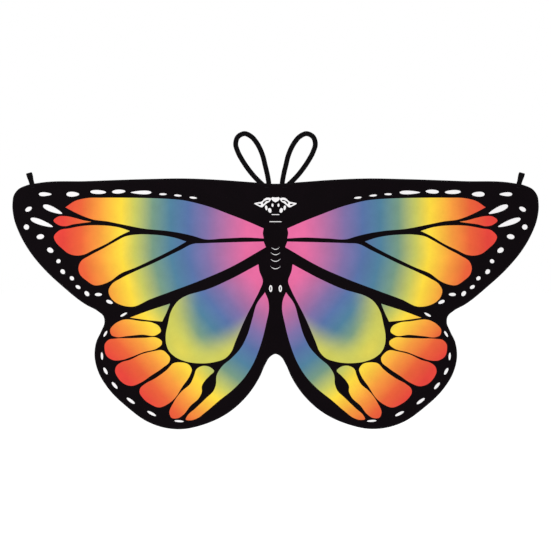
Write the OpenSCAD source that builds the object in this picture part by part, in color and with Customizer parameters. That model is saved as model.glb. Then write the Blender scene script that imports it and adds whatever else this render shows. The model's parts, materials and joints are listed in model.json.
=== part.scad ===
// Butterfly wing cape for a child: printed cloth wings with an overlocked edge, two elastic
// shoulder loops at the neckline and an elastic finger loop at each wing tip.
// It hangs upright as it is worn: X runs from wing tip to wing tip, Z is up, and the printed
// side faces -Y. The origin is the middle of the neckline, halfway through the cloth.
// The cloth is one piece. It is divided here where it folds: at both sides of the back, across
// each wing tip, and across the lower lobe of each hind wing.

/* [Cloth] */
// Span from wing tip to wing tip
wing_span = 1200; // [1000:10:1400]
// Thickness of the cloth
cloth_t = 0.6; // [0.4:0.1:0.8]
// Width of the overlocked edge
edge_w = 4; // [3:0.5:5]
// Thickness of the overlocked edge, stitches and cloth together
edge_t = 1.0; // [0.9:0.1:1.4]

/* [Folds] */
// Gap between two cloth panels at a fold
fold_gap = 2; // [1.8:0.1:3]
// Half width of the back panel, where each wing folds
back_fold_x = 52; // [50:1:58]
// Distance of the wing tip's fold from the middle, as a share of half the span
tip_fold_share = 0.717; // [0.7:0.001:0.74]

/* [Shoulder loops] */
// Width of the elastic
strap_w = 11.5; // [9:0.5:13]
// Thickness of the elastic
strap_t = 1.4; // [1:0.1:1.6]
// Height above the neckline at which the loops fold
strap_fold_z = 6; // [5.5:0.5:8]
// Depth below the neckline to which the ends are sewn down
strap_sewn = 13; // [11:1:16]

/* [Finger loops] */
// Width of the elastic where it is sewn
finger_w = 11.5; // [9:0.5:12.5]
// Width of the elastic at the top of the loop
finger_top_w = 13; // [10:0.5:14]
// Thickness of the elastic
finger_t = 1.2; // [1:0.1:1.4]
// Radius of the space for the finger
finger_r = 6; // [5.5:0.5:8]
// Height of the loop above its fold
finger_h = 22.5; // [21:0.5:30]
// Lean of the loop towards the wing tip, in degrees
finger_lean = 15.5; // [10:0.5:18]
// Depth below the edge to which the ends are sewn down
finger_sewn = 15; // [12:1:18]

/* [Stitching] */
// Length of a bar tack
tack_l = 9; // [7:0.5:10]
// Width of a bar tack
tack_w = 2.4; // [2:0.1:3]
// Height of a bar tack's thread above the cloth or elastic
tack_t = 0.5; // [0.3:0.1:0.8]

/* [Hidden] */

BLACK = "#161218";
BLUE = "#4f78b0";
RED = "#ee5238";
YELLOW = "#f2c234";

// The edge of the right half at a span of 1200, from the middle of the neckline round to the
// top of the notch between the hind wings
EDGE_1200 = [
    [0, 0], [60, 4], [130, 9], [205, 12], [300, 10.5], [430, 6], [540, 2],            // top edge
    [570, -4], [588, -13], [598, -27], [601, -46], [597, -82], [585, -114],          // wing tip
    [562, -154], [529, -194], [485, -235], [433, -276], [406, -291],                 // fore wing
    [393, -303], [391, -318], [398, -336], [410, -362], [414, -392],                 // waist
    [404, -434], [382, -469], [340, -510], [290, -545], [255, -557], [217, -560.5],  // hind wing
    [165, -550], [108, -523], [63, -482], [36, -441], [23, -412], [13, -396],        // inner side
    [0, -389]
];
EDGE_STEPS = 5;

// Middle line of the right shoulder loop, from its outer leg over the top to its inner leg
LOOP_LINE = [
    [33, 1], [48, 16], [63, 34.5], [76, 54], [86, 73], [91, 91], [86, 107], [71, 114.5],
    [55, 107.5], [44, 95], [35.5, 80], [28.5, 62], [24, 43.5], [19.5, 25], [16.5, 9], [15.5, 1]
];
LOOP_STEPS = 4;
// Where both ends of the right shoulder loop are sewn down, below the neckline
LOOP_SEWN = [19.5, -strap_sewn];
// Where the hind lobe's fold meets the waist and the inner side, at a span of 1200
LOBE_FOLD_WAIST = [391, -322];
LOBE_FOLD_INNER = [85, -505];
// Where the middle of the finger loop crosses its fold, at a span of 1200
FINGER_AT = [557.5, 3.5];

FAR = 900;
k = wing_span / 1200;
tip_fold_x = tip_fold_share * wing_span / 2;
edge_back_y = edge_t / 2;
$fn = 48;

// ---- curves ----

function unit(v) = v / norm(v);
function mirrored(p) = [for (q = p) [-q.x, q.y]];
function reversed(p) = [for (i = [len(p) - 1:-1:0]) p[i]];
// Tangent of unit speed at b on the way from a to c
function tangent(a, b, c) =
    let (d0 = norm(b - a), d1 = norm(c - b))
    ((b - a) / d0 * d1 + (c - b) / d1 * d0) / (d0 + d1);
// Point at share t of the smooth stretch from b to c, with a before it and d after it
function between(a, b, c, d, t) =
    let (l = norm(c - b), m0 = tangent(a, b, c) * l, m1 = tangent(b, c, d) * l)
    (2 * t ^ 3 - 3 * t ^ 2 + 1) * b + (t ^ 3 - 2 * t ^ 2 + t) * m0
    + (3 * t ^ 2 - 2 * t ^ 3) * c + (t ^ 3 - t ^ 2) * m1;
function smooth_closed(p, steps) =
    let (n = len(p))
    [for (i = [0:n - 1], s = [0:steps - 1])
        between(p[(i + n - 1) % n], p[i], p[(i + 1) % n], p[(i + 2) % n], s / steps)];
function smooth_open(p, steps) =
    let (q = concat([2 * p[0] - p[1]], p, [2 * p[len(p) - 1] - p[len(p) - 2]]))
    concat(
        [for (i = [1:len(p) - 1], s = [0:steps - 1])
            between(q[i - 1], q[i], q[i + 1], q[i + 2], s / steps)],
        [p[len(p) - 1]]
    );
// Each point moved by d to the right of its line, where closed says if the line is a ring
function beside(p, d, closed) =
    let (n = len(p))
    [for (i = [0:n - 1])
        let (a = closed ? p[(i + n - 1) % n] : p[max(i - 1, 0)],
             b = closed ? p[(i + 1) % n] : p[min(i + 1, n - 1)],
             u = unit(b - a))
        p[i] + d * [u.y, -u.x]];

half_edge = EDGE_1200 * k;
full_edge = smooth_closed(
    concat(half_edge, mirrored([for (i = [len(half_edge) - 2:-1:1]) half_edge[i]])),
    EDGE_STEPS
);
seam_line = beside(full_edge, edge_w, true);

// ---- the cloth's flat shapes, drawn in XY and stood up afterwards ----

// Stands a flat shape up in the XZ plane, with its thickness from y0 to y1
module upright(y0, y1) {
    translate([0, y1, 0])
        rotate([90, 0, 0])
            linear_extrude(y1 - y0)
                children();
}

module other_side() {
    mirror([1, 0, 0])
        children();
}

module cloth_flat() {
    polygon(seam_line);
}

module edge_flat() {
    difference() {
        polygon(full_edge);
        polygon(seam_line);
    }
}

module between_x(x0, x1) {
    translate([x0, -FAR])
        square([x1 - x0, 2 * FAR]);
}

// The half plane above the hind lobe's fold (side 1) or below it (side -1), short of the gap
module lobe_side(side) {
    inner = LOBE_FOLD_INNER * k;
    waist = LOBE_FOLD_WAIST * k;
    along = unit(waist - inner);
    up = [-along.y, along.x];
    near = up * side * fold_gap / 2;
    far = up * side * FAR;
    polygon([inner - along * FAR + near, waist + along * FAR + near,
             waist + along * FAR + far, inner - along * FAR + far]);
}

module back_region() {
    between_x(-back_fold_x + fold_gap / 2, back_fold_x - fold_gap / 2);
}

module wing_region() {
    intersection() {
        between_x(back_fold_x + fold_gap / 2, tip_fold_x - fold_gap / 2);
        lobe_side(1);
    }
}

module tip_region() {
    between_x(tip_fold_x + fold_gap / 2, FAR);
}

module lobe_region() {
    intersection() {
        between_x(back_fold_x, FAR);
        lobe_side(-1);
    }
}

// ---- cloth panels ----

module cloth_panel() {
    upright(-cloth_t / 2, cloth_t / 2)
        intersection() {
            cloth_flat();
            children();
        }
}

module edge_panel() {
    upright(-edge_t / 2, edge_t / 2)
        intersection() {
            edge_flat();
            children();
        }
}

module back_panel() {
    color(BLACK)
        cloth_panel()
            back_region();
}

module right_wing() {
    color(BLUE)
        cloth_panel()
            wing_region();
}

module right_wing_tip() {
    color(RED)
        cloth_panel()
            tip_region();
}

module right_hind_lobe() {
    color(YELLOW)
        cloth_panel()
            lobe_region();
}

// ---- overlocked edge, one stretch on each panel ----

module back_panel_edge() {
    color(BLACK)
        edge_panel()
            back_region();
}

module right_wing_edge() {
    color(BLACK)
        edge_panel()
            wing_region();
}

module right_wing_tip_edge() {
    color(BLACK)
        edge_panel()
            tip_region();
}

module right_hind_lobe_edge() {
    color(BLACK)
        edge_panel()
            lobe_region();
}

// ---- shoulder loops: flat elastic, laid against the wrong side of the cloth ----

// A flat band of elastic along a line
module band(line) {
    polygon(concat(beside(line, strap_w / 2, false), reversed(beside(line, -strap_w / 2, false))));
}

module right_shoulder_loop() {
    color(BLACK)
        upright(edge_back_y, edge_back_y + strap_t)
            intersection() {
                band(smooth_open(LOOP_LINE, LOOP_STEPS));
                translate([0, strap_fold_z + fold_gap / 2])
                    square([FAR, FAR]);
            }
}

// One end's flat shape: straight on from the loop, and through the place where it is sewn down
module loop_end_flat(leg, next) {
    along = unit(leg - LOOP_SEWN);
    band([LOOP_SEWN - along * strap_w, leg, next]);
}

// The two ends, which lie on each other under the bar tack
module right_shoulder_loop_ends() {
    last = len(LOOP_LINE) - 1;
    color(BLACK)
        upright(edge_back_y, edge_back_y + strap_t)
            intersection() {
                union() {
                    loop_end_flat(LOOP_LINE[0], LOOP_LINE[1]);
                    loop_end_flat(LOOP_LINE[last], LOOP_LINE[last - 1]);
                }
                translate([0, LOOP_SEWN.y])
                    square([FAR, strap_fold_z - fold_gap / 2 - LOOP_SEWN.y]);
            }
}

module tack_flat() {
    square([tack_l, tack_w], center = true);
}

// Thread over the ends, and the same tack showing on the printed side
module right_shoulder_bar_tacks() {
    color(BLACK) {
        translate([LOOP_SEWN.x + 0.5, 0, -strap_sewn + 2 * tack_w]) {
            upright(edge_back_y + strap_t, edge_back_y + strap_t + tack_t)
                tack_flat();
            upright(-cloth_t / 2 - tack_t, -cloth_t / 2)
                tack_flat();
        }
    }
}

// ---- finger loops: elastic doubled into a drop shape, open along X ----

finger_y = edge_back_y + finger_t;
drop_z = finger_h - finger_r - finger_t;

// Puts a finger loop, drawn along Z from its fold, in its leaning place
module at_finger() {
    translate([FINGER_AT.x * k, finger_y, FINGER_AT.y * k])
        rotate([0, finger_lean, 0])
            children();
}

// A drop: a circle with its tangents down to a point, drawn in XY
module drop(r, point_y) {
    lean = asin(r / (drop_z - point_y));
    translate([0, drop_z])
        circle(r);
    polygon([[0, point_y],
             [r * cos(lean), drop_z - r * sin(lean)],
             [-r * cos(lean), drop_z - r * sin(lean)]]);
}

// The loop seen along its width: both layers meet in a stem under the space for the finger
module finger_loop_side() {
    inner_point = 3;
    lean = asin(finger_r / (drop_z - inner_point));
    difference() {
        union() {
            drop(finger_r + finger_t, inner_point - finger_t / sin(lean));
            translate([-finger_t, fold_gap / 2])
                square([2 * finger_t, inner_point + 2 * finger_t]);
        }
        drop(finger_r, inner_point);
        translate([-FAR / 2, -FAR + fold_gap / 2])
            square([FAR, FAR]);
    }
}

// The loop's outline from the front, a little wider at the top
module finger_loop_front() {
    polygon([[-finger_w / 2, 0], [finger_w / 2, 0],
             [finger_top_w / 2, finger_h + 1], [-finger_top_w / 2, finger_h + 1]]);
}

module right_finger_loop() {
    color(BLACK)
        at_finger()
            intersection() {
                translate([-finger_top_w, 0, 0])
                    rotate([90, 0, 90])
                        linear_extrude(2 * finger_top_w)
                            finger_loop_side();
                upright(-finger_h, finger_h)
                    finger_loop_front();
            }
}

// Both layers, sewn down on the wrong side of the cloth
module right_finger_loop_ends() {
    color(BLACK)
        at_finger()
            translate([-finger_w / 2, -finger_t, -finger_sewn - fold_gap / 2])
                cube([finger_w, 2 * finger_t, finger_sewn]);
}

module right_finger_bar_tacks() {
    color(BLACK)
        at_finger()
            translate([0, -finger_y, -finger_sewn + tack_w]) {
                upright(finger_y + finger_t, finger_y + finger_t + tack_t)
                    tack_flat();
                upright(-cloth_t / 2 - tack_t, -cloth_t / 2)
                    tack_flat();
            }
}

back_panel();
other_side() right_wing();  // left_wing
right_wing();
other_side() right_wing_tip();  // left_wing_tip
right_wing_tip();
other_side() right_hind_lobe();  // left_hind_lobe
right_hind_lobe();
back_panel_edge();
other_side() right_wing_edge();  // left_wing_edge
right_wing_edge();
other_side() right_wing_tip_edge();  // left_wing_tip_edge
right_wing_tip_edge();
other_side() right_hind_lobe_edge();  // left_hind_lobe_edge
right_hind_lobe_edge();
other_side() right_shoulder_loop();  // left_shoulder_loop
right_shoulder_loop();
other_side() right_shoulder_loop_ends();  // left_shoulder_loop_ends
right_shoulder_loop_ends();
other_side() right_shoulder_bar_tacks();  // left_shoulder_bar_tacks
right_shoulder_bar_tacks();
other_side() right_finger_loop();  // left_finger_loop
right_finger_loop();
other_side() right_finger_loop_ends();  // left_finger_loop_ends
right_finger_loop_ends();
other_side() right_finger_bar_tacks();  // left_finger_bar_tacks
right_finger_bar_tacks();
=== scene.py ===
"""Butterfly wing cape for a child, hung upright as it is worn, with its printed side to the front.

The sections follow the cape as it is made: the printed cloth, its overlocked edge, the shoulder
loops, the finger loops, and the bar tacks that hold them. Lengths are in millimetres where a
shape is drawn, and in metres once it becomes a mesh."""
import json
import math

import bpy
import numpy as np
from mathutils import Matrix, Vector
from mathutils.geometry import delaunay_2d_cdt
from mathutils.kdtree import KDTree


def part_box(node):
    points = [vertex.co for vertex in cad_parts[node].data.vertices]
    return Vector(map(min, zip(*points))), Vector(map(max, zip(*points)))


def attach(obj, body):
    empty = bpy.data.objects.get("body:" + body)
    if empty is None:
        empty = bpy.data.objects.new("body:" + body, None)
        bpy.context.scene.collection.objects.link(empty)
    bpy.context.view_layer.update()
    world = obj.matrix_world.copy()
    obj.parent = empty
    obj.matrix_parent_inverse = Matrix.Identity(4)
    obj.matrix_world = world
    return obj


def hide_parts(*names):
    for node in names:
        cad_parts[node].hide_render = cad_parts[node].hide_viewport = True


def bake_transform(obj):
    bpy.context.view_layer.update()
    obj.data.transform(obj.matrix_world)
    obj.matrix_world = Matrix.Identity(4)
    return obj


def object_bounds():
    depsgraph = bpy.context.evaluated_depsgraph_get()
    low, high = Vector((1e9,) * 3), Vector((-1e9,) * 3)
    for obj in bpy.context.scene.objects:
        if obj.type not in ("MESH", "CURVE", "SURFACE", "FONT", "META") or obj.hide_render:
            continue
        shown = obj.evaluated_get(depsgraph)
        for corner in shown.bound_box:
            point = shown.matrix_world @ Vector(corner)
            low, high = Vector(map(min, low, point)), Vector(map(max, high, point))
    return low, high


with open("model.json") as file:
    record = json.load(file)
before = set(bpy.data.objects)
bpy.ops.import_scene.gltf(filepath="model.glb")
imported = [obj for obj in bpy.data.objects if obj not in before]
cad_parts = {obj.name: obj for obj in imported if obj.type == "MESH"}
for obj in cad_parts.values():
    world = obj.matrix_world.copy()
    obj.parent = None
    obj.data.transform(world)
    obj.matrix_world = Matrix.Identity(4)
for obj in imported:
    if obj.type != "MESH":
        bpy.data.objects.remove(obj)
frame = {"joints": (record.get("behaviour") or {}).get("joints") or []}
cad_low, cad_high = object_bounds()
scene = bpy.context.scene
joints = {joint["name"]: joint for joint in frame["joints"]}

# ---- Camera ----
# It looks straight on to the printed side, level with the middle of the picture, through a
# long lens, so that the flat cloth keeps its proportions.
PICTURE_WIDTH = 1.0467 * (cad_high.x - cad_low.x)
LENS, SENSOR = 100, 36
ABOVE_MIDDLE = 0.0105

camera_data = bpy.data.cameras.new("camera")
camera_data.lens = LENS
camera_data.sensor_width = SENSOR
camera = bpy.data.objects.new("camera", camera_data)
camera.location = (0, -PICTURE_WIDTH * LENS / SENSOR, (cad_low.z + cad_high.z) / 2 + ABOVE_MIDDLE)
camera.rotation_euler = (math.radians(90), 0, 0)
scene.collection.objects.link(camera)
scene.camera = camera

# ---- Printed cloth ----
# One piece of thin woven polyester, cut to the outline of a butterfly and printed on one side:
# black veins and border, white spots, and cells dyed from pink at the body to red at the rim.
# It is made in six parts, three a side: the wing, its tip and its hind lobe.
EDGE = [  # right half, from the middle of the neckline round to the notch between the hind wings
    (0, 0), (60, 4), (130, 9), (205, 12), (300, 10.5), (430, 6), (540, 2), (570, -4), (588, -13),
    (598, -27), (601, -46), (597, -82), (585, -114), (562, -154), (529, -194), (485, -235),
    (433, -276), (406, -291), (393, -303), (391, -318), (398, -336), (410, -362), (414, -392),
    (404, -434), (382, -469), (340, -510), (290, -545), (255, -557), (217, -560.5), (165, -550),
    (108, -523), (63, -482), (36, -441), (23, -412), (13, -396), (0, -389),
]
CLOTH_T = 0.4
HEM = 1.5          # how far inside the finished edge the cloth is cut
LATTICE = 5.5      # spacing of the cloth's inner points
SEAM_STEP = 5.0
TIP_SEAM = 417.0   # where the tip part joins the wing part, short of the tip's fold
LOBE_SEAM = 14.0   # how far above the hind lobe's fold its part begins
SIDES = (("left", -1), ("right", 1))


def tangent(a, b, c):
    before, after = np.hypot(*(b - a)), np.hypot(*(c - b))
    return ((b - a) / before * after + (c - b) / after * before) / (before + after)


def curve_through(points, step, closed=True):
    """A smooth line through the points, about step apart, and the number of points of each stretch."""
    p = np.array(points, float)
    if not closed:
        p = np.vstack([2 * p[0] - p[1], p, 2 * p[-1] - p[-2]])
    n = len(p)
    line, counts = [], []
    for i in range(n) if closed else range(1, n - 2):
        a, b, c, d = p[i - 1], p[i], p[(i + 1) % n], p[(i + 2) % n]
        length = np.hypot(*(c - b))
        start, end = tangent(a, b, c) * length, tangent(b, c, d) * length
        count = max(1, round(length / step))
        for s in range(count):
            t = s / count
            line.append(
                (2 * t**3 - 3 * t**2 + 1) * b + (t**3 - 2 * t**2 + t) * start
                + (3 * t**2 - 2 * t**3) * c + (t**3 - t**2) * end
            )
        counts.append(count)
    if not closed:
        line.append(p[-2])
    return np.array(line), counts


def with_sharp_corners(points, keep=2.5):
    """The ring with each point that is given twice spread into three, so that smoothing keeps it sharp."""
    p, ring = [np.array(q, float) for q in points], []
    for i, at in enumerate(p):
        ahead = p[(i + 1) % len(p)]
        if (at == p[i - 1]).all():
            ring += [at, at + (ahead - at) / np.hypot(*(ahead - at)) * keep]
        elif (at == ahead).all():
            ring.append(at + (p[i - 1] - at) / np.hypot(*(p[i - 1] - at)) * keep)
        else:
            ring.append(at)
    return ring


def beside(ring, distance):
    """The ring moved inwards by distance."""
    along = np.roll(ring, -1, 0) - np.roll(ring, 1, 0)
    along /= np.hypot(along[:, 0], along[:, 1])[:, None]
    return ring + distance * np.stack([along[:, 1], -along[:, 0]], 1)


def inside(ring, points):
    """Which of the points lie inside the ring."""
    found = np.zeros(len(points), bool)
    x, z = points[:, 0], points[:, 1]
    for (x0, z0), (x1, z1) in zip(np.roll(ring, 1, 0), ring):
        if z0 == z1:
            continue
        found ^= ((z0 > z) != (z1 > z)) & (x < (x1 - x0) * (z - z0) / (z1 - z0) + x0)
    return found


def outline(step):
    """The finished edge all the way round, and the number of points in its right half."""
    ring, counts = curve_through(EDGE + [(-x, z) for x, z in EDGE[-2:0:-1]], step)
    return ring, sum(counts[: len(EDGE) - 1]) + 1


# The drawing follows the span of the CAD cloth, and its folds come from the CAD's own joints.
size = 1000 * cad_high.x / outline(5)[0][:, 0].max()
EDGE = [(x * size, z * size) for x, z in EDGE]
back_fold = 1000 * joints["right_wing_fold"]["pos_m"][0]
lobe_joint = joints["right_hind_lobe_fold"]
lobe_at = 1000 * np.array([lobe_joint["pos_m"][0], lobe_joint["pos_m"][2]])
lobe_along = np.array([lobe_joint["axis"][0], lobe_joint["axis"][2]])
lobe_along *= np.sign(lobe_along[0]) / np.hypot(*lobe_along)
lobe_up = np.array([-lobe_along[1], lobe_along[0]])


def above_lobe_fold(x, z):
    return (x - lobe_at[0]) * lobe_up[0] + (z - lobe_at[1]) * lobe_up[1]


def part_of(x, z):
    """0 for the wing part, 1 for the tip part and 2 for the hind lobe, by distance from the middle."""
    return np.where(x > TIP_SEAM, 1, np.where((above_lobe_fold(x, z) < LOBE_SEAM) & (x > back_fold), 2, 0))


def hang(x, z):
    """How far the cloth stands off its plane: soft folds that fan out below the neckline."""
    down = np.clip(-z / 210, 0, 1)
    fade = down * down * (3 - 2 * down)
    round_neck = np.arctan2(x, 150 - z)
    far = np.hypot(x, 150 - z)
    fan = 5.5 * np.sin(8.5 * round_neck + 0.7 * np.sin(far / 130) + 0.4)
    drift = 2.6 * np.sin(x / 83 + 0.9) * np.sin(z / 97 - 0.3) + 0.9 * np.sin(x / 37 - z / 61)
    return fade * (fan + drift)


# Each cell's rule says how far along the dye's colours a point is. The fore wing's colours run
# straight out from the body, and the hind wing's spread down and out from its root.
def fore_dye(x, z):
    return 5 + 0.98 * x + 0.25 * np.maximum(0, -165 - z)


def large_dye(x, z):
    return -137 + 0.93 * x - 0.74 * z


def inner_dye(x, z):
    return -160 + 0.642 * x - 0.863 * z


def hind_dye(x, z):
    return -92.8 + 0.798 * x - 0.676 * z


def eased(share):
    share = np.clip(share, 0, 1)
    return share * share * (3 - 2 * share)


def rim_wash(x, z):
    """How much of a yellow green lies over the large hind cell: all of it at the outer and lower rims."""
    lower_start = 324 + 0.47 * (x - 130) - 0.0017 * (x - 130) ** 2
    return 1 - (1 - eased((x - 167) / 88)) * (1 - eased((-z - lower_start) / 78))


CELLS = [  # rule, outline of the right cell; a point given twice is a sharp corner
    (fore_dye, [(480, -54), (480, -54), (459, -40), (431, -33), (395, -32), (340, -32), (287, -33),
                (241, -35), (210, -38), (182, -44), (150, -53), (105, -70), (69, -84),
                (27, -102), (27, -102), (29, -112), (27, -125), (27, -125), (64, -123), (117, -125),
                (166, -126), (182, -121), (210, -114), (246, -108), (298, -103), (355, -92),
                (385, -86), (416, -82), (437, -75), (459, -65)]),
    (fore_dye, [(507, -84), (496, -75), (480, -74), (459, -78), (437, -84), (420, -87), (420, -87),
                (442, -90), (463, -93), (480, -97), (496, -94)]),
    (fore_dye, [(506, -122), (494, -107), (471, -102), (437, -96), (404, -95), (374, -97),
                (353, -101), (332, -108), (332, -108), (353, -118), (385, -137), (416, -152),
                (437, -162), (456, -164), (471, -160), (488, -147), (501, -134)]),
    (fore_dye, [(449, -192), (444, -178), (425, -165), (395, -149), (363, -131), (344, -121),
                (315, -116), (287, -116), (253, -119), (228, -124), (204, -132), (204, -132),
                (228, -146), (287, -176), (321, -192), (353, -205), (378, -223), (395, -230),
                (412, -232), (431, -221), (446, -206)]),
    (fore_dye, [(381, -244), (374, -230), (353, -216), (325, -202), (287, -185), (219, -152),
                (187, -137), (166, -136), (105, -134), (27, -132), (27, -132), (22, -145),
                (22, -145), (105, -192), (162, -217), (241, -247), (287, -264), (328, -281),
                (353, -277), (368, -269), (378, -257)]),
    (large_dye, [(39, -184), (39, -184), (37, -198), (29, -224), (36, -243), (50, -271), (64, -298),
                 (92, -362), (101, -384), (114, -398), (139, -407), (175, -410), (208, -405),
                 (230, -395), (244, -381), (250, -365), (251, -348), (246, -320), (238, -290),
                 (222, -267), (202, -255), (179, -248), (161, -243), (105, -219)]),
    (inner_dye, [(24, -248), (24, -248), (17, -265), (15, -284), (21, -318), (33, -365), (50, -409),
                 (69, -440), (94, -467), (130, -496), (158, -520), (180, -536), (194, -540),
                 (205, -538), (202, -531), (183, -513), (158, -489), (141, -472), (136, -459),
                 (134, -437), (122, -417), (100, -398), (80, -376), (64, -345), (53, -309),
                 (42, -273)]),
    (hind_dye, [(333, -306), (333, -306), (290, -290), (241, -274), (241, -274), (249, -294),
                (259, -315), (259, -315), (290, -312)]),
    (hind_dye, [(262, -337), (266, -326), (280, -318), (307, -314), (352, -312), (368, -321),
                (378, -334), (375, -346), (366, -350), (338, -348), (305, -345), (273, -346)]),
    (hind_dye, [(260, -360), (271, -352), (299, -352), (332, -353), (366, -354), (382, -357),
                (390, -366), (391, -378), (386, -394), (372, -403), (352, -403), (330, -396),
                (302, -385), (269, -375), (260, -367)]),
    (hind_dye, [(257, -381), (247, -389), (241, -398), (242, -406), (257, -420), (285, -439),
                (307, -454), (330, -462), (343, -459), (360, -444), (367, -427), (364, -417),
                (354, -409), (332, -402), (307, -390), (280, -383)]),
    (hind_dye, [(233, -410), (216, -408), (198, -413), (191, -424), (195, -437), (213, -464),
                (230, -490), (247, -504), (266, -511), (285, -504), (302, -491), (311, -475),
                (309, -467), (299, -458), (274, -444), (247, -424)]),
    (hind_dye, [(166, -416), (147, -420), (140, -427), (150, -438), (162, -451), (168, -462),
                (168, -475), (174, -488), (194, -507), (211, -528), (222, -535), (238, -534),
                (242, -525), (233, -500), (215, -475), (194, -456), (186, -439), (180, -423)]),
]
# The white spots: distance from the middle, height, length, width, tilt in degrees (upwards away
# from the middle), and how much narrower the end nearer the middle is.
SPOTS = [
    (526, -24, 29, 8.5, 0, 0.35), (463, -24, 29, 11, 0, 0.2), (405, -19, 36, 9, 2, 0.1),
    (358, -18, 30, 9, -3, 0.1), (307, -20, 47, 8, 0, -0.4), (257, -24, 17, 4.5, 0, 0.1),
    (223, -27, 17, 4.5, 5, 0.1), (188, -32, 17, 4.5, 6, 0.1),
    (509, -59, 47, 12, 23, 0.35), (534, -89, 54, 11.5, 20, 0.35),
    (564, -58, 16, 9.5, -30, 0.1), (569, -99, 12, 12, 0, 0), (537, -121, 17, 11, -10, 0),
    (514, -152, 15, 11, 30, 0.1), (495, -177, 10, 9, -30, 0), (485, -201, 12, 9.5, 48, 0.1),
    (464, -216, 10.5, 8.5, 40, 0), (450, -236, 12, 7.5, 30, 0), (430, -251, 13, 9, 50, 0),
    (404, -253, 16, 7, 0, 0.1), (379, -270, 15.5, 7.5, 24, 0.1), (347, -299, 17, 5, -30, 0.1),
    (389, -343, 15, 5, -60, 0), (397, -394, 17, 5, 87, 0), (389, -428, 17, 6.5, 62, 0),
    (368, -461, 19, 6.5, 50, 0), (331, -496, 22, 6.5, 36, 0), (283, -525, 22, 6, 28, 0),
    (220, -542, 21, 4.5, 4, 0),
    (6.8, -49, 7.6, 4.6, 90, 0), (21, -55, 11, 5.4, 82, 0.1), (13, -61, 11, 7.6, 75, 0.1),
]
OVAL_AT, OVAL_SIZE, OVAL_MIDDLE = (11, -239.5), (15.5, 7.4), (8.5, 2.4)
# On the body: the head's crest and the leaf beside it, two bars, and four smiling arcs.
LEAF = [(10, -34.2), (21.9, -32.5), (26.2, -35.5), (31.5, -40.8), (39.3, -42.5), (48.5, -45.2),
        (40.2, -50.4), (31, -53.9), (24.5, -48.6), (19.2, -44.3), (13.5, -40.8)]
LEAF_VEINS = [[(15, -37.6), (22, -38), (29, -45), (28.2, -46), (21, -39.8), (15, -38.8)],
              [(33, -47.2), (42, -46), (33, -48.8)]]
CREST = [(0, -31.6), (7.9, -30.7), (10, -34.5), (6, -39.5), (0, -42.5)]
BARS = [(-70.5, 8.8, 0.8), (-86.7, 13.6, 0.8)]  # height, half length, half width
ARCS = [(-148, 9.5, 5.5), (-160, 11, 6), (-175, 11.5, 6), (-192, 11.5, 6.2)]  # height, half length, depth
ARC_WIDTH = 1.4


def oval(x, z, length, width, tilt=0.0, taper=0.0, count=36):
    turn = math.radians(tilt)
    ring = []
    for a in np.linspace(0, 2 * math.pi, count, endpoint=False):
        u = math.cos(a) * length / 2
        v = math.sin(a) * width / 2 * (1 + taper * math.cos(a))
        ring.append((x + u * math.cos(turn) - v * math.sin(turn),
                     z + u * math.sin(turn) + v * math.cos(turn)))
    return np.array(ring)


def drawn(points, step=3.6):
    return curve_through(with_sharp_corners(points), step)[0]


cells = [(rule, drawn(points)) for rule, points in CELLS]
white_rings = [oval(*spot) for spot in SPOTS]
white_rings += [oval(*OVAL_AT, *OVAL_SIZE, 90), drawn(LEAF, 2.5)]
white_rings.append(np.array(CREST))
for z, half, thick in BARS:
    white_rings.append(np.array([(0, z - thick), (half, z - thick), (half, z + thick), (0, z + thick)]))
for z, half, depth in ARCS:
    across = np.linspace(0, half, 9)
    lower = np.stack([across, z - depth / 2 + depth * (across / half) ** 2], 1)
    upper = lower + [0, ARC_WIDTH] * (1 - 0.8 * (across / half) ** 3)[:, None]
    white_rings.append(np.vstack([lower, upper[::-1]]))
black_rings = [oval(*OVAL_AT, *OVAL_MIDDLE, 90)] + [drawn(vein, 1.5) for vein in LEAF_VEINS]

edge_ring, half_count = outline(4.0)
cut_half = beside(edge_ring, HEM)[:half_count]
cut_half[0, 0] = cut_half[-1, 0] = 0
lobe_far = lobe_at + lobe_up * LOBE_SEAM


def straight(start, end, step=SEAM_STEP):
    count = max(1, round(np.hypot(*(np.array(end) - start)) / step))
    return np.linspace(start, end, count + 1)


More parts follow.
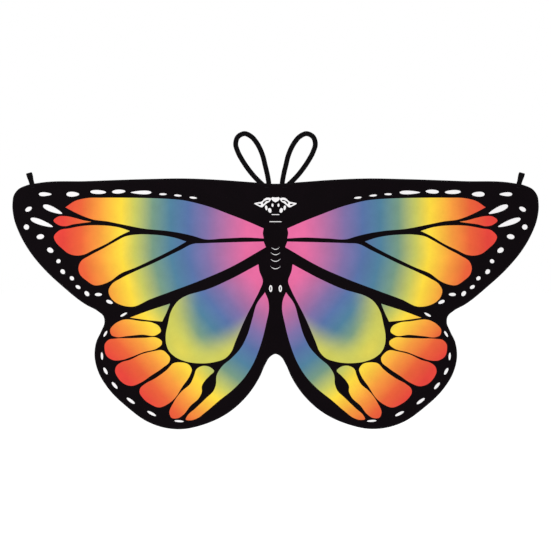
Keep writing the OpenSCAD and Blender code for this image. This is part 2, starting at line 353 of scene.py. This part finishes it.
def cloth_triangles():
    """The right half of the cloth as triangles that keep every printed line and every seam."""
    rings = [np.vstack([cut_half, straight(cut_half[-1], cut_half[0], LATTICE)[1:-1]])]
    rings += [ring for _, ring in cells] + white_rings + black_rings
    lines = [straight((TIP_SEAM, -330.0), (TIP_SEAM, 30.0)),
             straight(lobe_far - lobe_along * 45, lobe_far + lobe_along * 420)]
    points, edges = [], []
    for line, closed in [(ring, True) for ring in rings] + [(line, False) for line in lines]:
        first = len(points)
        points += list(line)
        edges += [(first + i, first + i + 1) for i in range(len(line) - 1)]
        if closed:
            edges.append((first + len(line) - 1, first))
    tree = KDTree(len(points))
    for i, p in enumerate(points):
        tree.insert((p[0], p[1], 0), i)
    tree.balance()
    rows = np.arange(-566, 16, LATTICE * math.sqrt(3) / 2)
    lattice = np.array([(x + LATTICE / 2 * (i % 2), z) for i, z in enumerate(rows)
                        for x in np.arange(LATTICE / 2, 604, LATTICE)])
    lattice = lattice[inside(rings[0], lattice)]
    points += [p for p in lattice if tree.find((p[0], p[1], 0))[2] > 0.5 * LATTICE]
    made = delaunay_2d_cdt([Vector(p) for p in points], edges, [], 0, 1e-4)
    flat = np.array([(v.x, v.y) for v in made[0]])
    faces = np.array([f for f in made[2] if len(f) == 3])
    middle = flat[faces].mean(1)
    keep = inside(rings[0], middle)
    faces, middle = faces[keep], middle[keep]
    a, b, c = flat[faces[:, 0]], flat[faces[:, 1]], flat[faces[:, 2]]
    twice_area = (b - a)[:, 0] * (c - a)[:, 1] - (b - a)[:, 1] * (c - a)[:, 0]
    faces[twice_area < 0] = faces[twice_area < 0][:, ::-1]
    faces, middle = faces[abs(twice_area) > 1e-5], middle[abs(twice_area) > 1e-5]
    return flat, faces, middle


flat, faces, middle = cloth_triangles()
BLACK_INK, DYE, WHITE = 0, 1, 2
ink = np.zeros(len(faces), int)
dye = np.zeros((len(faces), 3, 2))  # at each corner, the place along the dye and the share of wash
for rule, ring in cells:
    hit = inside(ring, middle)
    ink[hit] = DYE
    x, z = flat[faces[hit], 0], flat[faces[hit], 1]
    dye[hit, :, 0] = rule(x, z) / 500
    if rule is large_dye:
        dye[hit, :, 1] = rim_wash(x, z)
for ring in white_rings:
    ink[inside(ring, middle)] = WHITE
for ring in black_rings:
    ink[inside(ring, middle)] = BLACK_INK
part = part_of(middle[:, 0], middle[:, 1])


def linear(hex_colour, scale=1.0):
    """A display colour such as ff8040 as linear light, scaled to suit the studio's brightness."""
    made = []
    for i in (0, 2, 4):
        c = int(hex_colour[i:i + 2], 16) / 255
        made.append((c / 12.92 if c <= 0.04045 else ((c + 0.055) / 1.055) ** 2.4) * scale)
    return made


STUDIO = 0.83  # what a white surface has to be, so that the lit cloth shows its own colour
DYE_COLOURS = [
    (20, "e96ba0"), (70, "e66da1"), (120, "b16fa2"), (160, "7f70a6"), (200, "5973a6"),
    (240, "51809b"), (280, "779a84"), (320, "c8c961"), (350, "ffdd42"), (400, "f69b3f"),
    (440, "ea643a"), (480, "e6463c"),
]
WASH = "cdcb5c"
BLACK, SHOW_THROUGH_BLACK = "060205", "2b2529"
PAPER, SHOW_THROUGH_PAPER = "fbf9fa", "e2dfe2"
SHOW_THROUGH = 0.3  # how much paler the dye is on the wrong side


def node(tree, kind, **inputs):
    made = tree.nodes.new(kind)
    for name, value in inputs.items():
        made.inputs[name.replace("_", " ")].default_value = value
    return made


def woven(material, pitch, strength, crumple=0.0):
    """A plain weave as bump, one thread over and one under, with a soft crumple under it.
    The thread's pitch is in metres. Returns the shader and the place on the cloth."""
    material.use_nodes = True
    tree = material.node_tree
    shader = tree.nodes["Principled BSDF"]
    place = tree.nodes.new("ShaderNodeUVMap")
    place.uv_map = "cloth"
    warp = node(tree, "ShaderNodeTexWave", Scale=math.pi / 10 / pitch / 2)
    weft = node(tree, "ShaderNodeTexWave", Scale=math.pi / 10 / pitch / 2)
    weft.bands_direction = "Y"
    over = node(tree, "ShaderNodeTexChecker", Scale=1 / pitch)
    thread = tree.nodes.new("ShaderNodeMix")
    for texture in (warp, weft, over):
        tree.links.new(place.outputs["UV"], texture.inputs["Vector"])
    tree.links.new(over.outputs["Fac"], thread.inputs["Factor"])
    tree.links.new(warp.outputs["Fac"], thread.inputs["A"])
    tree.links.new(weft.outputs["Fac"], thread.inputs["B"])
    weave = node(tree, "ShaderNodeBump", Strength=strength, Distance=pitch * 0.4)
    tree.links.new(thread.outputs["Result"], weave.inputs["Height"])
    if crumple:
        soft = node(tree, "ShaderNodeTexNoise", Scale=34.0, Detail=3.0, Roughness=0.5)
        tree.links.new(place.outputs["UV"], soft.inputs["Vector"])
        under = node(tree, "ShaderNodeBump", Strength=0.35, Distance=crumple)
        tree.links.new(soft.outputs["Fac"], under.inputs["Height"])
        tree.links.new(under.outputs["Normal"], weave.inputs["Normal"])
    tree.links.new(weave.outputs["Normal"], shader.inputs["Normal"])
    return tree, shader, place


def varied(tree, place, shader, colour_output, scale, low, high):
    """Lets the colour's strength drift from low to high over the surface, as dye takes unevenly."""
    drift = node(tree, "ShaderNodeTexNoise", Scale=scale, Detail=4.0, Roughness=0.62)
    tree.links.new(place.outputs["UV"], drift.inputs["Vector"])
    level = node(tree, "ShaderNodeMapRange", To_Min=low, To_Max=high)
    level.inputs["From Min"].default_value = 0.3
    level.inputs["From Max"].default_value = 0.7
    tree.links.new(drift.outputs["Fac"], level.inputs["Value"])
    mix = tree.nodes.new("ShaderNodeMix")
    mix.data_type = "RGBA"
    mix.blend_type = "MULTIPLY"
    mix.inputs["Factor"].default_value = 1.0
    tree.links.new(colour_output, mix.inputs["A"])
    tree.links.new(level.outputs["Result"], mix.inputs["B"])
    tree.links.new(mix.outputs["Result"], shader.inputs["Base Color"])


def cloth_finish(name, colours, low=0.93, high=1.04, sheen=0.01, shine=0.04, wash=None):
    """Printed polyester: colours are pairs of a place along the dye and its colour there."""
    material = bpy.data.materials.new(name)
    tree, shader, place = woven(material, 0.0007, 0.25, 0.0022)
    shader.inputs["Roughness"].default_value = 0.62
    shader.inputs["Specular IOR Level"].default_value = shine
    shader.inputs["Sheen Weight"].default_value = sheen
    shader.inputs["Sheen Roughness"].default_value = 0.5
    ramp = tree.nodes.new("ShaderNodeValToRGB")
    stops = ramp.color_ramp.elements
    for i, (at, colour) in enumerate(colours):
        stop = stops[i] if i < 2 else stops.new(at / 500)
        stop.position = at / 500
        stop.color = (*colour, 1)
    if len(colours) > 2:
        along = tree.nodes.new("ShaderNodeUVMap")
        along.uv_map = "dye"
        split = tree.nodes.new("ShaderNodeSeparateXYZ")
        tree.links.new(along.outputs["UV"], split.inputs["Vector"])
        tree.links.new(split.outputs["X"], ramp.inputs["Fac"])
        over = tree.nodes.new("ShaderNodeMix")
        over.data_type = "RGBA"
        over.inputs["B"].default_value = (*wash, 1)
        tree.links.new(split.outputs["Y"], over.inputs["Factor"])
        tree.links.new(ramp.outputs["Color"], over.inputs["A"])
        printed = over.outputs["Result"]
    else:
        printed = ramp.outputs["Color"]
        grain = node(tree, "ShaderNodeTexNoise", Scale=420.0, Detail=2.0)
        tree.links.new(place.outputs["UV"], grain.inputs["Vector"])
        tree.links.new(grain.outputs["Fac"], ramp.inputs["Fac"])
    varied(tree, place, shader, printed, 22.0, low, high)
    return material


def paler(colour, share, towards="d9d6d8"):
    return [c * (1 - share) + t * share for c, t in zip(colour, linear(towards, STUDIO))]


def two_tone(dark, light):
    """The two ends of a plain ink's fine grain."""
    return [(150, linear(dark, STUDIO)), (350, linear(light, STUDIO))]


cloth_materials = [
    cloth_finish("black_print", two_tone(BLACK, "0c0509"), 0.85, 1.15, 0.003, 0.035),
    cloth_finish("rainbow_print", [(at, linear(c, STUDIO)) for at, c in DYE_COLOURS],
                 wash=linear(WASH, STUDIO)),
    cloth_finish("white_print", two_tone("f4f2f3", PAPER), 0.97, 1.0),
    cloth_finish("black_wrong_side", two_tone("262024", SHOW_THROUGH_BLACK), 0.85, 1.15),
    cloth_finish("rainbow_wrong_side",
                 [(at, paler(linear(c, STUDIO), SHOW_THROUGH)) for at, c in DYE_COLOURS],
                 wash=paler(linear(WASH, STUDIO), SHOW_THROUGH)),
    cloth_finish("white_wrong_side", two_tone("d8d5d8", SHOW_THROUGH_PAPER), 0.97, 1.0),
]


def add_object(name, points, polygons, materials, uv=None, smooth_angle=40, indices=None):
    """A mesh object in metres from points in millimetres. uv gives each map's corner values."""
    mesh = bpy.data.meshes.new(name)
    mesh.from_pydata([tuple(p) for p in np.asarray(points, float) / 1000], [], polygons)
    for material in materials:
        mesh.materials.append(material)
    if indices is not None:
        mesh.polygons.foreach_set("material_index", indices)
    for key, values in (uv or {}).items():
        layer = mesh.uv_layers.new(name=key)
        layer.data.foreach_set("uv", np.asarray(values, np.float32).ravel())
    mesh.polygons.foreach_set("use_smooth", [True] * len(polygons))
    mesh.set_sharp_from_angle(angle=math.radians(smooth_angle))
    mesh.validate()
    mesh.update()
    made = bpy.data.objects.new(name, mesh)
    scene.collection.objects.link(made)
    return made


def cloth_part(name, m, which):
    """One part of the cloth as a thin closed shell: printed side, wrong side and cut edge."""
    chosen = np.nonzero(part == which)[0]
    corners = faces[chosen] if m > 0 else faces[chosen][:, ::-1]
    shades = dye[chosen] if m > 0 else dye[chosen][:, ::-1]
    used, local = np.unique(corners, return_inverse=True)
    local = local.reshape(corners.shape)
    x, z = m * flat[used, 0], flat[used, 1]
    y = hang(x, z)
    n = len(used)
    points = np.vstack([np.stack([x, y - CLOTH_T / 2, z], 1), np.stack([x, y + CLOTH_T / 2, z], 1)])
    polygons = [tuple(f) for f in local] + [tuple(f[::-1] + n) for f in local]
    directed = {(int(f[i]), int(f[(i + 1) % 3])) for f in local for i in range(3)}
    rim = sorted(e for e in directed if (e[1], e[0]) not in directed)
    polygons += [(b, a, a + n, b + n) for a, b in rim]
    indices = list(ink[chosen]) + list(ink[chosen] + 3) + [BLACK_INK] * len(rim)
    place = np.stack([flat[used, 0], flat[used, 1]], 1) / 1000
    doubled = np.vstack([place, place])
    cloth_uv = np.array([doubled[v] for f in polygons for v in f])
    dye_uv = np.concatenate([shades.reshape(-1, 2), shades[:, ::-1].reshape(-1, 2),
                             np.zeros((4 * len(rim), 2))])
    made = add_object(name, points, polygons, cloth_materials,
                      {"cloth": cloth_uv, "dye": dye_uv}, 40, indices)
    a, b, c = (flat[faces[chosen][:, i]] for i in range(3))
    area = 0.5 * np.abs((b - a)[:, 0] * (c - a)[:, 1] - (b - a)[:, 1] * (c - a)[:, 0]).sum() / 1e6
    width, length = np.ptp(place[:, 0]), np.ptp(place[:, 1])
    return made, (float(width), float(length)), float(area)


PARTS = ("wing", "tip", "lobe")


def bend_like_cloth(piece, which):
    """Sets the piece's place into its mesh."""
    if which == 0:
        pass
    elif which == 1:
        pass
    else:
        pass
    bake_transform(piece)


cloth = {}
for side, m in SIDES:
    stands_for = (("back_panel", side + "_wing"), (side + "_wing_tip",), (side + "_hind_lobe",))
    for which, part_name in enumerate(PARTS):
        piece, flat_size, flat_area = cloth_part(f"{side}_{part_name}_cloth", m, which)
        cloth[side, which] = piece, flat_size, flat_area
        bend_like_cloth(piece, which)
        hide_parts(*stands_for[which])

# ---- Overlocked edge ----
# Black thread sewn over the cut edge all the way round, in slanted stitches set close together.
# Each stretch belongs to the cloth part that it finishes.
EDGE_W, EDGE_T = 4.0, 1.0
STITCH, STITCH_STEPS = 2.2, 4   # pitch of the stitches, and rings of points in each
EDGE_ROUND = 12
STITCH_SLANT = 1.1


def thread_finish(name, dark, light, scale):
    """Spun thread: a fine fibre grain, and stitches that catch more or less light."""
    material = bpy.data.materials.new(name)
    tree, shader, place = woven(material, 0.00045, 0.4)
    shader.inputs["Roughness"].default_value = 0.7
    shader.inputs["Specular IOR Level"].default_value = 0.05
    shader.inputs["Sheen Weight"].default_value = 0.01
    grain = node(tree, "ShaderNodeTexNoise", Scale=scale, Detail=3.0)
    tree.links.new(place.outputs["UV"], grain.inputs["Vector"])
    ramp = tree.nodes.new("ShaderNodeValToRGB")
    for stop, colour, at in zip(ramp.color_ramp.elements, (dark, light), (0.3, 0.7)):
        stop.color = (*linear(colour, STUDIO), 1)
        stop.position = at
    tree.links.new(grain.outputs["Fac"], ramp.inputs["Fac"])
    varied(tree, place, shader, ramp.outputs["Color"], 60.0, 0.8, 1.2)
    return material


edge_material = thread_finish("overlock_thread", "040204", "120d11", 900.0)


def tube(rings, first_uv=0.0):
    """Points, polygons and uv of a closed tube through rings of points, with capped ends."""
    rings = np.asarray(rings)
    count, n = rings.shape[:2]
    points = rings.reshape(-1, 3)
    along = np.concatenate([[0], np.cumsum(np.linalg.norm(np.diff(rings.mean(1), axis=0), axis=1))])
    along = (along + first_uv) / 1000
    sides = np.diff(rings[0], axis=0, append=rings[0][:1])
    around = np.concatenate([[0], np.cumsum(np.linalg.norm(sides, axis=1))]) / 1000
    polygons, uv = [], []
    for i in range(count - 1):
        for j in range(n):
            k = (j + 1) % n
            polygons.append((i * n + j, i * n + k, (i + 1) * n + k, (i + 1) * n + j))
            uv += [(along[i], around[j]), (along[i], around[j + 1]),
                   (along[i + 1], around[j + 1]), (along[i + 1], around[j])]
    for cap in (list(range(n))[::-1], [(count - 1) * n + j for j in range(n)]):
        polygons.append(tuple(cap))
        uv += [(0, 0)] * n
    return points, polygons, uv


def joined(tubes):
    """Several tubes as one mesh."""
    points, polygons, uv = [], [], []
    for p, f, u in tubes:
        first = len(points)
        points += list(p)
        polygons += [tuple(v + first for v in face) for face in f]
        uv += u
    return points, polygons, uv


fine_ring, fine_count = outline(STITCH / STITCH_STEPS)
fine_middle = beside(fine_ring, EDGE_W / 2)
fine_inward = fine_middle - fine_ring
fine_inward /= np.hypot(fine_inward[:, 0], fine_inward[:, 1])[:, None]
fine_along = np.concatenate([[0], np.cumsum(np.hypot(*np.diff(fine_ring, axis=0).T))])
fine_part = part_of(fine_middle[:, 0], fine_middle[:, 1])


def edge_stretch(first, last, m):
    """The thread from one point of the edge to another, as a flattened tube with stitches."""
    rings = []
    turns = np.linspace(0, 2 * math.pi, EDGE_ROUND, endpoint=False)
    for i in range(first, last + 1):
        middle_x, middle_z = fine_middle[i] if i not in (0, fine_count - 1) else (0, fine_middle[i][1])
        stitch = math.pi * fine_along[i] / STITCH
        ridge = 0.76 + 0.24 * np.abs(np.cos(stitch + STITCH_SLANT * np.sin(turns / 2)))
        out = np.cos(turns) * EDGE_W / 2 * (0.97 + 0.03 * ridge)
        thick = np.sign(np.sin(turns)) * np.abs(np.sin(turns)) ** 0.7 * EDGE_T / 2 * ridge
        x = m * (middle_x + fine_inward[i][0] * out)
        z = middle_z + fine_inward[i][1] * out
        y = hang(m * middle_x, middle_z) + thick
        rings.append(np.stack([x, y, z], 1)[::-m])
    return tube(rings, fine_along[first])


def stretches(which):
    """First and last point of each stretch of the right half's edge that belongs to a part."""
    found, first = [], None
    for i in range(fine_count):
        if fine_part[i] == which and first is None:
            first = i
        if first is not None and (i == fine_count - 1 or fine_part[i + 1] != which):
            found.append((first, min(i + 1, fine_count - 1)))
            first = None
    return found


for side, m in SIDES:
    stands_for = (("back_panel_edge", side + "_wing_edge"), (side + "_wing_tip_edge",),
                  (side + "_hind_lobe_edge",))
    for which, part_name in enumerate(PARTS):
        points, polygons, uv = joined([edge_stretch(a, b, m) for a, b in stretches(which)])
        piece = add_object(f"{side}_{part_name}_overlock", points, polygons, [edge_material],
                           {"cloth": uv}, 80)
        bend_like_cloth(piece, which)
        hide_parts(*stands_for[which])
        piece_of_cloth, flat_size, flat_area = cloth[side, which]

# ---- Shoulder loops ----
# Flat braided elastic, sewn down by both ends on the wrong side below the neckline. The inner
# end lies on the outer one under the tack. In front the two loops look like the antennae.
STRAP_W, STRAP_T = 11.5, 1.4
LOOP_LINE = [  # right loop, from its outer leg over the top to its inner leg
    (33, 1), (48, 16), (63, 34.5), (76, 54), (86, 73), (91, 91), (86, 107), (71, 114.5),
    (55, 107.5), (44, 95), (35.5, 80), (28.5, 62), (24, 43.5), (19.5, 25), (16.5, 9), (15.5, 1),
]
LOOP_SEWN = (19.5, -11.0)
RIBS = 6


def elastic_finish():
    """Braided elastic: dull black with a fine chevron of threads between the ribs."""
    material = bpy.data.materials.new("braided_elastic")
    tree, shader, place = woven(material, 0.0006, 0.5)
    shader.inputs["Roughness"].default_value = 0.78
    shader.inputs["Specular IOR Level"].default_value = 0.05
    shader.inputs["Sheen Weight"].default_value = 0.01
    chevron = node(tree, "ShaderNodeTexWave", Scale=190.0, Distortion=1.4, Detail=1.0)
    chevron.bands_direction = "DIAGONAL"
    tree.links.new(place.outputs["UV"], chevron.inputs["Vector"])
    ramp = tree.nodes.new("ShaderNodeValToRGB")
    for stop, colour, at in zip(ramp.color_ramp.elements, ("030203", "100d10"), (0.2, 0.9)):
        stop.color = (*linear(colour, STUDIO), 1)
        stop.position = at
    tree.links.new(chevron.outputs["Fac"], ramp.inputs["Fac"])
    varied(tree, place, shader, ramp.outputs["Color"], 80.0, 0.8, 1.2)
    return material


elastic_material = elastic_finish()


def ribbed(half_width, half_thickness):
    """The elastic's cross section, as its distance across and up: ribs on both faces."""
    across = np.linspace(-1, 1, RIBS * 4 + 1)
    rib = 0.62 + 0.38 * np.abs(np.sin(np.pi * (across + 1) / 2 * RIBS))
    rounded = np.sqrt(np.clip(1 - np.abs(across) ** 9, 0, 1))
    face = np.stack([across * half_width, rib * rounded * half_thickness], 1)
    return np.vstack([face, (face * [1, -1])[-2:0:-1]])


def strap(path, wide, up, widths, thickness):
    """Elastic along a path, where wide and up are its directions across and off its face."""
    rings = []
    for p, w, u, width in zip(path, wide, up, widths):
        section = ribbed(width / 2, thickness / 2)
        rings.append(p + section[:, :1] * w + section[:, 1:] * u)
    return tube(rings)


def face_out(tubes, m):
    points, polygons, uv = tubes
    if m > 0:
        return points, polygons, uv
    flipped, values, at = [], [], 0
    for f in polygons:
        flipped.append(f[::-1])
        values += uv[at:at + len(f)][::-1]
        at += len(f)
    return points, flipped, values


def shoulder_loop(side, m):
    sewn = np.array(LOOP_SEWN)
    line = curve_through([sewn + (0.6, 0)] + LOOP_LINE + [sewn - (0.6, 0)], 2.0, closed=False)[0]
    along = np.gradient(line, axis=0)
    along /= np.hypot(along[:, 0], along[:, 1])[:, None]
    share = np.linspace(0, 1, len(line))
    lift = np.where(share > 0.5, np.clip((8 - line[:, 1]) / 12, 0, 1), 0)
    back = 1000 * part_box(side + "_shoulder_loop")[0].y + STRAP_T / 2
    y = back + hang(m * line[:, 0], line[:, 1]) + lift * STRAP_T
    path = np.stack([m * line[:, 0], y, line[:, 1]], 1)
    wide = np.stack([m * along[:, 1], np.zeros(len(line)), -along[:, 0]], 1)
    up = np.tile([0, 1.0, 0], (len(line), 1))
    return face_out(strap(path, wide, up, [STRAP_W] * len(line), STRAP_T), -m)


for side, m in SIDES:
    points, polygons, uv = shoulder_loop(side, m)
    piece = add_object(f"{side}_shoulder_elastic", points, polygons, [elastic_material], {"cloth": uv}, 75)
    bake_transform(piece)
    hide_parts(side + "_shoulder_loop", side + "_shoulder_loop_ends")

# ---- Finger loops ----
# A short length of the same elastic, folded double and sewn down on the wrong side at the top
# corner of each wing tip. The two layers part above the fold round the space for a finger.
FINGER_W, FINGER_TOP_W, FINGER_T = 11.5, 13.0, 1.2
FINGER_R, FINGER_TOP = 6.0, 22.5
FINGER_SEWN, FINGER_POINT = 15.5, 3.0
FINGER_LEAN = 15.5


def finger_loop(side, m):
    radius = FINGER_R + FINGER_T / 2
    top = FINGER_TOP - FINGER_R - FINGER_T
    reach = top - FINGER_POINT
    lean = math.asin(radius / reach)
    arc = np.linspace(-lean, math.pi + lean, 40)
    half_t = FINGER_T / 2
    drop = [(-radius * math.cos(a), top + radius * math.sin(a)) for a in arc]
    front = [(-half_t, h) for h in np.linspace(-FINGER_SEWN, FINGER_POINT, 12)]
    line = front + drop + [(-y, h) for y, h in reversed(front)]
    line = curve_through(line, 1.2, closed=False)[0]
    along = np.gradient(line, axis=0)
    along /= np.hypot(along[:, 0], along[:, 1])[:, None]
    turn = math.radians(FINGER_LEAN)
    joint = joints[side + "_finger_loop_fold"]["pos_m"]
    middle = np.array([1000 * joint[0], 1000 * joint[1], 1000 * joint[2]])
    upwards = np.array([m * math.sin(turn), 0, math.cos(turn)])
    sideways = np.array([m * math.cos(turn), 0, -math.sin(turn)])
    backwards = np.array([0, 1.0, 0])
    path = middle + line[:, :1] * backwards + line[:, 1:] * upwards
    wide = np.tile(sideways, (len(line), 1))
    up = along[:, 1:] * backwards - along[:, :1] * upwards
    rise = np.clip(line[:, 1] / FINGER_TOP, 0, 1)
    widths = FINGER_W + (FINGER_TOP_W - FINGER_W) * rise
    return face_out(strap(path, wide, up, widths, FINGER_T), -m), middle, upwards


finger_places = {}
for side, m in SIDES:
    (points, polygons, uv), middle, upwards = finger_loop(side, m)
    finger_places[side] = middle, upwards
    piece = add_object(f"{side}_finger_elastic", points, polygons, [elastic_material], {"cloth": uv}, 75)
    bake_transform(piece)
    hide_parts(side + "_finger_loop", side + "_finger_loop_ends")

# ---- Bar tacks ----
# A dense zigzag of black thread through the elastic and the cloth at each sewn-down end. It
# shows on the elastic behind and on the printed side in front.
TACK_L, TACK_W, THREAD_R = 9.0, 2.4, 0.24
TACK_TURNS = 15

tack_material = thread_finish("tack_thread", "070507", "1a151a", 1400.0)


def zigzag(middle, along, across, out):
    """One tack as a round thread that goes to and fro across its length."""
    path = []
    for i in range(TACK_TURNS * 2 + 1):
        u = (i / (TACK_TURNS * 2) - 0.5) * TACK_L
        v = (0.5 if i % 2 else -0.5) * TACK_W
        for share, rise in ((-0.06, 0.4), (0, 0.0), (0.06, 0.4)):
            path.append(middle + along * (u + share * TACK_L / TACK_TURNS) + across * v * (1 - abs(share))
                        + out * (THREAD_R * (0.6 + rise)))
        path.append(middle + along * (u + TACK_L / TACK_TURNS / 4) + out * THREAD_R * 1.5)
    rings = []
    for i, p in enumerate(path):
        go = path[min(i + 1, len(path) - 1)] - path[max(i - 1, 0)]
        go /= np.linalg.norm(go)
        first = np.cross(go, out)
        first /= np.linalg.norm(first)
        second = np.cross(go, first)
        turns = np.linspace(0, 2 * math.pi, 7)[:-1]
        rings.append(p + THREAD_R * (np.cos(turns)[:, None] * first + np.sin(turns)[:, None] * second))
    return tube(rings)


def tack_pair(side, kind, body, along, across):
    """The tack on the elastic and the same tack on the printed side, where the CAD has them."""
    low, high = (1000 * np.array(corner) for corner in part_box(f"{side}_{kind}_bar_tacks"))
    middle = (low + high) / 2
    cloth_y = hang(middle[0], middle[2])
    behind = np.array([middle[0], high[1] - 0.5 + cloth_y, middle[2]])
    before = np.array([middle[0], -CLOTH_T / 2 + cloth_y, middle[2]])
    if kind == "shoulder":
        behind[1] += STRAP_T * 0.9
    backwards = np.array([0, 1.0, 0])
    points, polygons, uv = joined([zigzag(behind, along, across, backwards),
                                   zigzag(before, along, across, -backwards)])
    piece = add_object(f"{side}_{kind}_tacks", points, polygons, [tack_material], {"cloth": uv}, 80)
    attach(piece, body)
    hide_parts(f"{side}_{kind}_bar_tacks")


for side, m in SIDES:
    tack_pair(side, "shoulder", "back", np.array([1.0, 0, 0]), np.array([0, 0, 1.0]))
    lean = math.radians(FINGER_LEAN)
    tack_pair(side, "finger", side + "_wing_tip", np.array([math.cos(lean), 0, -m * math.sin(lean)]),
              np.array([m * math.sin(lean), 0, math.cos(lean)]))

# ---- Floor and light ----
# A wide pale floor at the height that a child's feet would be, a pale studio all round, and two
# large soft lights, one before the cape and one behind it.
FLOOR_BELOW = 0.39
floor_mesh = bpy.data.meshes.new("floor")
floor_mesh.from_pydata([(-60, -60, 0), (60, -60, 0), (60, 60, 0), (-60, 60, 0)], [], [(0, 1, 2, 3)])
floor = bpy.data.objects.new("floor", floor_mesh)
floor.location.z = cad_low.z - FLOOR_BELOW
floor_material = bpy.data.materials.new("pale_floor")
floor_material.use_nodes = True
floor_shader = floor_material.node_tree.nodes["Principled BSDF"]
floor_shader.inputs["Base Color"].default_value = (0.86, 0.86, 0.86, 1)
floor_shader.inputs["Roughness"].default_value = 0.9
floor_shader.inputs["Specular IOR Level"].default_value = 0.1
floor_shader.inputs["Emission Color"].default_value = (1, 1, 1, 1)
floor_shader.inputs["Emission Strength"].default_value = 0.16
floor_mesh.materials.append(floor_material)
scene.collection.objects.link(floor)

studio = bpy.data.worlds.new("studio")
studio.use_nodes = True
studio.node_tree.nodes["Background"].inputs["Color"].default_value = (1, 1, 1, 1)
studio.node_tree.nodes["Background"].inputs["Strength"].default_value = 1.0
scene.world = studio
scene.view_settings.view_transform = "Standard"

cape_middle = (cad_low + cad_high) / 2
for name, place, power in (("front_light", (-2.4, -2.6, 1.5), 45), ("back_light", (2.2, 2.8, 1.4), 30)):
    lamp = bpy.data.lights.new(name, "AREA")
    lamp.size = 2.2
    lamp.energy = power
    light = bpy.data.objects.new(name, lamp)
    light.location = place
    light.rotation_euler = (cape_middle - light.location).to_track_quat("-Z", "Y").to_euler()
    light.visible_camera = False
    scene.collection.objects.link(light)
